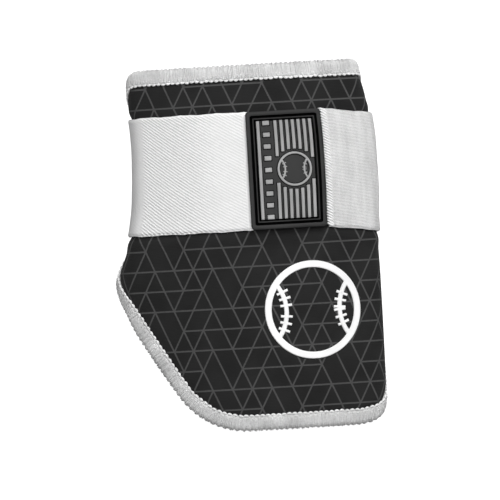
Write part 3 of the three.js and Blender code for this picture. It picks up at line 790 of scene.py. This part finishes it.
def chain_yarn():
    """A chain of plump loops along the binding's inner border, one to each bundle of overcast yarn."""
    edge = binding_edge(STITCH_PITCH)
    loop, out, _ = edge
    rng = np.random.default_rng(31)
    share = np.linspace(-0.5, 0.5, 7)
    arch = np.cos(share * math.pi)
    reach = CHAIN_REACH - 0.35 * arch + rng.normal(0, 0.12, (len(loop), 1))
    height = -0.05 + 0.15 * arch + rng.normal(0, 0.05, (len(loop), 1))
    slide = (share + 0.5) * STITCH_PITCH + reach * 0.15
    paths = on_guard(beside(edge, reach, slide), height)
    size = np.array([0.25, 0.75, 1.0, 1.15, 1.0, 0.75, 0.25])
    lobes = tubes(paths, lifted(loop, out), CHAIN_RADIUS, 8, size)
    yarn_piece("chain_yarn", 216, 250, "binding_yarn", lobes, chain_knots(rng))


def stray_fibres():
    """Short brushed fibres that stand out of the binding's yarn."""
    edge = binding_edge(FIBRE_PITCH)
    loop, _, along = edge
    rng = np.random.default_rng(23)
    count = len(loop)
    angle = math.pi * (0.5 - rng.uniform(0, 1, count))
    centre = BINDING_WIDTH - EDGE_RADIUS
    on_lip = rng.uniform(0, 1, count) < FIBRES_ON_LIP
    reach = np.where(on_lip, rng.uniform(0.3, centre, count), centre + EDGE_RADIUS * np.cos(angle))
    height = np.where(on_lip, 0.15, -EDGE_RADIUS + EDGE_RADIUS * np.sin(angle))
    push = np.stack([np.where(on_lip, 0.0, np.cos(angle)), np.where(on_lip, 1.0, np.sin(angle))], axis=1)
    length = rng.uniform(0.5, 1.15, (count, 1))
    slide = rng.normal(0, 0.6, (count, 1))
    bend = rng.normal(0, 0.35, (count, 1))
    steps = np.array([-0.2, 0.35, 0.75, 1.0])
    rise = push[:, None, :] * (length * np.minimum(steps, 0.8))[..., None]
    flat = beside(edge, reach[:, None] + rise[..., 0] + bend * steps ** 2, slide * steps ** 2)
    paths = on_guard(flat, height[:, None] + rise[..., 1])
    paths[..., 2] = np.maximum(paths[..., 2], 0.1)
    refs = lifted(loop, along) + rng.normal(0, 0.1, (count, 3))
    fibres = tubes(paths, refs, FIBRE_RADIUS, 3, np.array([1, 1, 0.8, 0.5]))
    yarn_piece("stray_fibres", 196, 245, "binding_yarn", fibres)


# Strap

TURN_X = 60                      # how far out the weave's marks have the strap turn in under the arm


def band_mesh(stations, marks):
    """A band through stations, each a function of v and w; marks are the stations' flat u for the weave."""
    inset, half = 0.7, STRAP_WIDTH / 2
    rows = ruler(STRAP_CENTRE_V - half + inset, STRAP_CENTRE_V + half - inset, 1.2)
    top = np.full(len(rows), STRAP_OVER)
    soft = 0.22
    low_edge = [(STRAP_LOW + soft, STRAP_OVER - soft), (STRAP_LOW, STRAP_OVER - 0.9),
                (STRAP_LOW + soft, GAP + soft)]
    high_edge = [(2 * STRAP_CENTRE_V - v, w) for v, w in reversed(low_edge)]
    ring = [*zip(rows, top), *high_edge, *zip(rows[::-1], np.full(len(rows), GAP)), *low_edge]
    v = np.array([p[0] for p in ring])
    w = np.array([p[1] for p in ring])
    edge = np.abs(v - STRAP_CENTRE_V) / half
    points, uv = [], []
    for station, mark in zip(stations, marks):
        covered = smoothstep(mark, TAB_LEFT_U - 0.8, TAB_LEFT_U + 0.8) * (mark < TAB_RIGHT_U)
        ripple = 0.16 * edge ** 6 * math.sin(mark * 0.31) + 0.1 * edge ** 6 * math.sin(mark * 0.83 + 1)
        ripple = ripple * (1 - covered) - 0.45 * covered * edge
        wave = 0.1 * np.sin(v * 0.23 + mark * 0.05) * (w > GAP + 1)
        points.append(station(v + ripple * np.sign(v - STRAP_CENTRE_V), w - np.maximum(wave, 0)))
        uv.append(np.stack([np.full_like(v, mark), v], axis=1))
    return np.concatenate(points), ring_faces(len(stations), len(ring), False), np.concatenate(uv)


def wall_stations(side, start):
    """Stations from a place on the face down one wall and round its rim, with their flat marks."""
    travels = np.concatenate([ruler(start, FACE_REACH - 2, 3.0), ruler(FACE_REACH - 1, CORNER_REACH, 0.9),
                              ruler(CORNER_REACH + 2, RIM_REACH, 2.5)])
    turns = np.linspace(0, math.pi / 2, 9)[1:]
    stations = [partial(strap_point, side, t) for t in (*travels, *(RIM_REACH + turns))]
    marks = list(side * travels) + [side * (RIM_REACH + 4 * t) for t in turns]
    return stations, marks


def floor_point(side, to_x, share, v, w):
    """A place on the strap under the arm, a share of the way from a rim to the strap's seam."""
    points = strap_point(side, RIM_REACH + math.pi, v, w)
    points[..., 0] += (to_x - points[..., 0]) * share
    points[..., 1] += (v - STRAP_FALL - points[..., 1]) * share
    return points


def floor_stations(side, to_x, last_mark):
    shares = np.linspace(0, 1, 12)[1:]
    length = abs(to_x - side * TURN_X)
    stations = [partial(floor_point, side, to_x, share) for share in shares]
    return stations, list(last_mark + side * length * shares)


def strap_lengths():
    """The twill elastic, and the looped end on the right; they meet in a seam under the arm."""
    end = TAB_RIGHT_U - STRAP_TUCK
    under = ruler(end, 0, 3.0)[:-1]
    stations = [partial(strap_point, 1, t) for t in under]
    wall, marks = wall_stations(-1, 0.01)
    floor, floor_marks = floor_stations(-1, SEAM_X, marks[-1])
    points, faces, uv = band_mesh(stations + wall + floor, list(under) + marks + floor_marks)
    band = make_piece("twill_strap", points, faces, [twill_elastic()], "strap_elastic", uv=uv)
    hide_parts("elastic_strap")

    wall, marks = wall_stations(1, TAB_RIGHT_U + GAP + 1.2)
    floor, floor_marks = floor_stations(1, SEAM_X + 0.02, marks[-1])
    points, faces, uv = band_mesh(wall + floor, marks + floor_marks)
    faces = [tuple(reversed(face)) for face in faces]
    pile = make_piece("pile_strap", points, faces, [loop_pile()], "strap_loop", uv=uv)
    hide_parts("loop_strap")


OVERLOCK_PITCH = 1.36
OVERLOCK_WIDTH = 3.9
OVERLOCK_RADIUS = 0.42
OVERLOCK_SLANT = 0.6


def overlock_yarn():
    """Close slanted stitches over the end of the looped strap, beside the tab."""
    rows = ruler(STRAP_LOW + 0.9, STRAP_HIGH - 0.9, OVERLOCK_PITCH)
    rng = np.random.default_rng(3)
    reach = np.array([0.35, 0.0, -0.1, 0.0, 0.6, 1.6, 2.7, OVERLOCK_WIDTH])
    height = np.array([0.5, 0.9, 1.5, 2.1, 2.36, 2.4, 2.32, 1.8])
    every = (len(rows), len(reach))
    place_u = FALL_START + reach + rng.normal(0, 0.06, every)
    place_v = rows[:, None] + 1.1 - reach * OVERLOCK_SLANT + rng.normal(0, 0.05, every)
    paths = wrapped(place_u, np.clip(place_v, STRAP_LOW + 0.3, STRAP_HIGH - 0.3), height)
    refs = np.tile([0.0, 1.0, 0.0], (len(rows), 1))
    size = np.array([0.7, 0.75, 0.75, 0.8, 0.9, 1.1, 1.1, 0.6])
    yarn_piece("overlock_yarn", 232, 254, "strap_loop", tubes(paths, refs, OVERLOCK_RADIUS, 6, size))


# Raised lines that follow a flat path: bars, rims, seams and stitches

SEAM_SPREAD = 1.62               # how far out a ball's seams have their centres, in radii
CURVE_STEP = 1.2


def ribbon(parts, path, half_width, low, high, bevel, closed=False):
    """A flat-topped line with softened edges along a flat path, laid on the guard."""
    if closed:
        side = outward(path)
    else:
        run = np.gradient(path, axis=0)
        run /= np.linalg.norm(run, axis=1, keepdims=True)
        first, last = path[0] + run[0] * bevel, path[-1] - run[-1] * bevel
        path = np.vstack([path[:1], first, path[1:-1], last, path[-1:]])
        run = np.vstack([run[:1], run[:1], run[1:-1], run[-1:], run[-1:]])
        side = np.stack([run[:, 1], -run[:, 0]], axis=1)
    tops = np.full(len(path), high)
    if not closed:
        tops[0] = tops[-1] = high - bevel
    across = np.array([1, 1, 1 - bevel / half_width, bevel / half_width - 1, -1, -1])
    foot = np.full(len(path), low)
    section = np.stack([foot, tops - bevel, tops, tops, tops - bevel, foot], axis=1)
    flat = path[:, None] + side[:, None] * (across * half_width)[None, :, None]
    points = on_guard(flat, section)
    faces = ring_faces(len(path), 6, closed)
    parts.add(points, [tuple(reversed(face)) for face in faces], flat)


def arc_path(u, v, radius, start, end):
    angle = ruler(start, end, CURVE_STEP / radius)
    return np.stack([u + radius * np.cos(angle), v + radius * np.sin(angle)], axis=1)


def circle_path(u, v, radius):
    return arc_path(u, v, radius, 0, 2 * math.pi)[:-1]


def straight(start, end, step=2.0):
    count = max(2, round(np.linalg.norm(end - start) / step) + 1)
    return start + (end - start) * np.linspace(0, 1, count)[:, None]


def rounded_frame(inset, radius):
    """The tab's outline drawn in by an inset, always with the same number of points."""
    left, right = TAB_LEFT_U + inset, TAB_RIGHT_U - inset
    low, high = TAB_LOW + inset, TAB_HIGH - inset
    corners = [(left + radius, high - radius), (left + radius, low + radius),
               (right - radius, low + radius), (right - radius, high - radius)]
    arcs = []
    for k, centre in enumerate(corners):
        angle = math.radians(90) * (k + 1 + np.linspace(0, 1, 6))
        arcs.append(np.array(centre) + radius * np.stack([np.cos(angle), np.sin(angle)], axis=1))
    loop = []
    for k, arc in enumerate(arcs):
        count = 24 if k % 2 == 0 else 18
        side = arc[-1] + (arcs[(k + 1) % 4][0] - arc[-1]) * np.linspace(0, 1, count)[1:-1, None]
        loop += [arc, side]
    return np.concatenate(loop)


# Pull tab

TAB_BOTTOM = STRAP_OVER + GAP
TAB_FIELD = TAB_BOTTOM + 1.5
TAB_PROFILE = [
    (0.15, 0.0), (0.0, 0.25), (0.0, 1.9), (0.12, 2.15), (0.4, 2.3), (1.8, 2.3), (2.1, 2.15), (2.25, 0.7),
    (2.45, 0.5), (3.1, 0.5), (3.3, 0.7), (3.4, 2.0), (3.55, 2.15), (3.9, 2.15), (4.05, 2.0), (4.15, 0.9),
    (4.3, 0.7), (4.8, 0.7), (4.95, 0.9), (5.1, 1.5),
]
# Insets of the tab's two grooves; their faces get the near-black rubber, a painted shade in the grooves.
TAB_SUNK = [(2.0, 3.5), (4.05, 5.05)]
BAR_WIDTH, BAR_PITCH, BAR_COUNT = 1.6, 2.92, 7
BAR_FIRST, LONG_BAR = TAB_LEFT_U + 14.7, TAB_LEFT_U + 6.0
BAR_LOW, BAR_HIGH = TAB_LOW + 4.9, TAB_HIGH - 4.9
BADGE_U, BADGE_RADIUS, BADGE_GAP = TAB_LEFT_U + 23.0, 8.6, 1.4
PIP_COLUMN, PIP_COUNT, PIP_WIDTH, PIP_LENGTH = TAB_LEFT_U + 10.0, 9, 3.4, 2.2
RELIEF_FOOT, BAR_TOP = TAB_FIELD - 0.2, TAB_FIELD + 0.75
# Width of the dark lines round the relief's feet, which are painted shade.
FOOT_SHADE_LINE = 0.42


def tab_plate(materials):
    """Flange, grooves, rib and field as nested outlines; the grooves take the second material, near black:
    painted shade in the grooves.
    """
    loops = [rounded_frame(inset, max(1.7 - inset * 0.35, 0.35)) for inset, _ in TAB_PROFILE]
    count, last = len(loops[0]), len(loops) - 1
    rings = [on_guard(loop, TAB_BOTTOM + height) for loop, (_, height) in zip(loops, TAB_PROFILE)]
    points, uv = np.concatenate(rings), np.concatenate(loops)
    faces = ring_faces(len(loops), count, True)[:last * count]
    sunk = [any(low < inset < high for low, high in TAB_SUNK) for inset, _ in TAB_PROFILE]
    kind = np.repeat([sunk[k] and sunk[k + 1] for k in range(last)], count)
    for ring, flip in ((last, False), (0, True)):
        loop, height = loops[ring], TAB_PROFILE[ring][1]
        inner = flat_lattice(loop.min(axis=0), loop.max(axis=0), 2.2)
        inner = inner[distance_inside(inner, loop) > 0.9]
        flat, triangles = filled([loop], inner, 1e-5)
        shift = len(points) - count
        points = np.concatenate([points, on_guard(flat[count:], TAB_BOTTOM + height)])
        uv = np.concatenate([uv, flat[count:]])
        for face in triangles:
            corners = [ring * count + i if i < count else shift + i for i in face]
            faces.append(tuple(reversed(corners) if flip else corners))
    kind = np.concatenate([kind, np.zeros(len(faces) - len(kind), bool)])
    plate = make_piece("tab_plate", points, faces, materials, "tab_rubber", uv=uv, face_material=kind,
                       sharp=SHARP_EDGE)
    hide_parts("pull_tab")


def tab_lines():
    """The bars and pips of the tab, each from a flat place to another, with its half width."""
    runs = [(LONG_BAR, BAR_LOW, BAR_HIGH)]
    for k in range(BAR_COUNT):
        u = BAR_FIRST + k * BAR_PITCH
        off = max(0.0, abs(u - BADGE_U) - BAR_WIDTH / 2)
        clear = math.sqrt(max(0.0, (BADGE_RADIUS + BADGE_GAP) ** 2 - off ** 2))
        runs += [(u, STRAP_CENTRE_V + clear, BAR_HIGH), (u, BAR_LOW, STRAP_CENTRE_V - clear)]
    bars = [(np.array([u, start]), np.array([u, end]), BAR_WIDTH / 2) for u, start, end in runs]
    half = np.array([PIP_WIDTH / 2, 0])
    rows = np.linspace(BAR_LOW + PIP_LENGTH / 2, BAR_HIGH - PIP_LENGTH / 2, PIP_COUNT)
    places = [np.array([PIP_COLUMN, v]) for v in rows]
    return bars + [(place - half, place + half, PIP_LENGTH / 2) for place in places]


def tab_relief(material):
    """Bars, pips and a round badge, in the tab's lighter rubber."""
    parts = Parts()
    for start, end, half_width in tab_lines():
        ribbon(parts, straight(start, end, 4.0), half_width, RELIEF_FOOT, BAR_TOP, 0.22)
    rim = circle_path(BADGE_U, STRAP_CENTRE_V, BADGE_RADIUS - 0.55)
    ribbon(parts, rim, 0.55, RELIEF_FOOT, BAR_TOP + 0.1, 0.2, True)
    ball(parts, BADGE_U, STRAP_CENTRE_V, BADGE_RADIUS - 1.0, 0.42, 4, 1.0, RELIEF_FOOT, BAR_TOP)
    parts.piece("tab_relief", material, "tab_rubber", sharp=SHARP_EDGE)


def tab_foot_shade(material):
    """Dark lines round the foot of every bar and pip and of the badge: painted shade where the relief rises
    from the field.
    """
    parts = Parts()
    top = TAB_FIELD + 0.04
    for start, end, half_width in tab_lines():
        run = (end - start) / np.linalg.norm(end - start) * FOOT_SHADE_LINE
        ribbon(parts, straight(start - run, end + run, 4.0), half_width + FOOT_SHADE_LINE, RELIEF_FOOT, top, 0.03)
    for radius in (BADGE_RADIUS + FOOT_SHADE_LINE / 2, BADGE_RADIUS - 1.1 - FOOT_SHADE_LINE / 2):
        ring = circle_path(BADGE_U, STRAP_CENTRE_V, radius)
        ribbon(parts, ring, FOOT_SHADE_LINE / 2, RELIEF_FOOT, top, 0.03, True)
    parts.piece("tab_foot_shade", material, "tab_rubber", smooth=False)


def ball(parts, u, v, radius, half_line, stitches, stitch_length, low, high):
    """The two seams of a ball and their stitches, inside a circle."""
    half = math.acos(SEAM_SPREAD / 2)
    for side in (-1, 1):
        centre = u + side * radius * SEAM_SPREAD
        middle = math.pi if side > 0 else 0.0
        path = arc_path(centre, v, radius, middle - half, middle + half)
        ribbon(parts, path, half_line, low, high, half_line * 0.35)
        for k in range(stitches):
            angle = middle + (k - (stitches - 1) / 2) * half * 1.5 / stitches
            direction = np.array([math.cos(angle), math.sin(angle)])
            rise = np.array([0, 0.35 * stitch_length * (1 if k >= stitches / 2 else -1)])
            point = np.array([centre, v]) + direction * radius
            ends = (point + direction * stitch_length + rise, point - direction * stitch_length + rise)
            ribbon(parts, straight(*ends), half_line * 0.55, low, high, half_line * 0.25)


# Emblem on the lower pad

EMBLEM_U, EMBLEM_V, EMBLEM_RADIUS = 29.5, -32.6, 24.5


def emblem_film():
    parts = Parts()
    ribbon(parts, circle_path(EMBLEM_U, EMBLEM_V, EMBLEM_RADIUS - 1.7), 1.7, 0.02, 0.8, 0.3, True)
    ball(parts, EMBLEM_U, EMBLEM_V, EMBLEM_RADIUS - 2.6, 1.15, 6, 3.0, 0.02, 0.75)
    film = parts.piece("emblem_film", emblem_skin(), "emblem_film", sharp=SHARP_EDGE)
    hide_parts("emblem")


# Camera, floor and light

CAMERA_HEIGHT = 3.0
CAMERA_ROLL = math.radians(3.3)
FRAME_SIZE = 0.2495
LOOK_AT = Vector((0.0007, -0.0012, 0.044))


def stage():
    bpy.ops.mesh.primitive_plane_add(size=6, location=(0, 0, -0.0002))
    floor = bpy.context.object
    floor.name = "floor"
    material, tree, shader = new_material("floor_paper", 0.9, specular=0.1)
    shader.inputs["Base Color"].default_value = (0.45, 0.45, 0.45, 1)
    shader.inputs["Emission Color"].default_value = (1, 1, 1, 1)
    seen = tree.nodes.new("ShaderNodeLightPath")
    tree.links.new(seen.outputs["Is Camera Ray"], shader.inputs["Emission Strength"])
    floor.data.materials.append(material)

    camera = bpy.data.objects.new("camera", bpy.data.cameras.new("camera"))
    bpy.context.scene.collection.objects.link(camera)
    camera.location = LOOK_AT + Vector((0, 0, CAMERA_HEIGHT))
    camera.rotation_euler = (0, 0, -CAMERA_ROLL)
    camera.data.sensor_width = 36
    camera.data.lens = camera.data.sensor_width * CAMERA_HEIGHT / FRAME_SIZE
    bpy.context.scene.camera = camera

    def panel(name, place, size, power):
        light = bpy.data.lights.new(name, "AREA")
        light.shape, light.size, light.energy = "DISK", size, power
        lamp = bpy.data.objects.new(name, light)
        lamp.location = place
        lamp.rotation_euler = (Vector((0, 0, 0.02)) - Vector(place)).to_track_quat("-Z", "Y").to_euler()
        bpy.context.scene.collection.objects.link(lamp)

    panel("key_panel", (0.6, 1.0, 1.15), 0.8, 15.5)
    panel("fill_panel", (-0.1, 0.2, 1.35), 0.9, 5)
    panel("top_panel", (0.0, 0.3, 1.8), 1.2, 11.5)
    world = bpy.data.worlds.new("studio")
    world.use_nodes = True
    world.node_tree.nodes["Background"].inputs["Color"].default_value = (1, 1, 1, 1)
    world.node_tree.nodes["Background"].inputs["Strength"].default_value = 0.115
    bpy.context.scene.world = world
    bpy.context.scene.view_settings.view_transform = "Standard"


padded_shell()
binding_tape()
overcast_yarn()
chain_yarn()
stray_fibres()
strap_lengths()
overlock_yarn()
# Near-black, nearly unreflecting rubber: painted shade in the tab's grooves and round the feet of its
# relief.
tab_painted_shade = moulded_rubber("tab_painted_shade", 2, 6, 0.9, 0.03)
tab_plate([moulded_rubber("tab_dark", 36, 48, 0.6), tab_painted_shade])
tab_foot_shade(tab_painted_shade)
tab_relief(moulded_rubber("tab_light", 146, 168, 0.55))
emblem_film()
stage()
